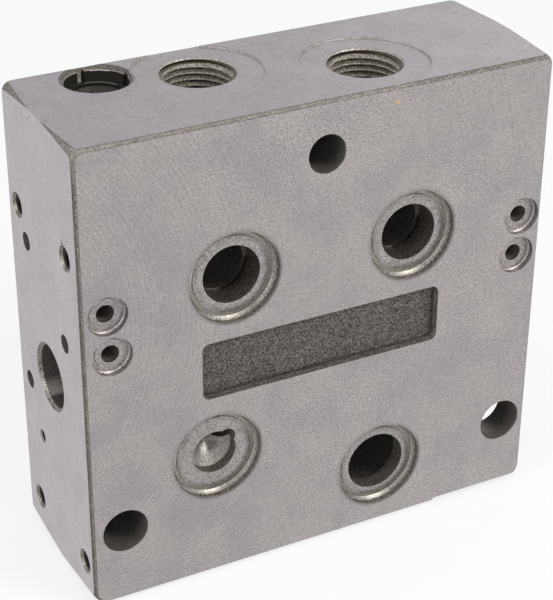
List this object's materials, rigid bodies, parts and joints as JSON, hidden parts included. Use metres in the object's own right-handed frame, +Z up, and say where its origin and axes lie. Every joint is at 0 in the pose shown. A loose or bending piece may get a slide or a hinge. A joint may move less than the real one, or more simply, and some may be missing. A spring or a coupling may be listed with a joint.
{
  "type": "valve section housing",
  "caption": "Cast iron block for one section of a stacked directional valve, with spool bore, threaded work ports, sealed galleries and tie rod holes.",
  "frame": {"origin": "middle of the foot that the block stands on, at the centre of its bounding box", "axes": "+X along the spool bore towards the right cap face, +Y from the seat face to the back face, +Z up to the ports"},
  "size_m": [0.142, 0.051, 0.1402],
  "materials": {
    "iron": "milled faces, rough casting skin on edges and recess"
  },
  "bodies": {
    "root": {"housing": "iron"}
  },
  "joints": []
}
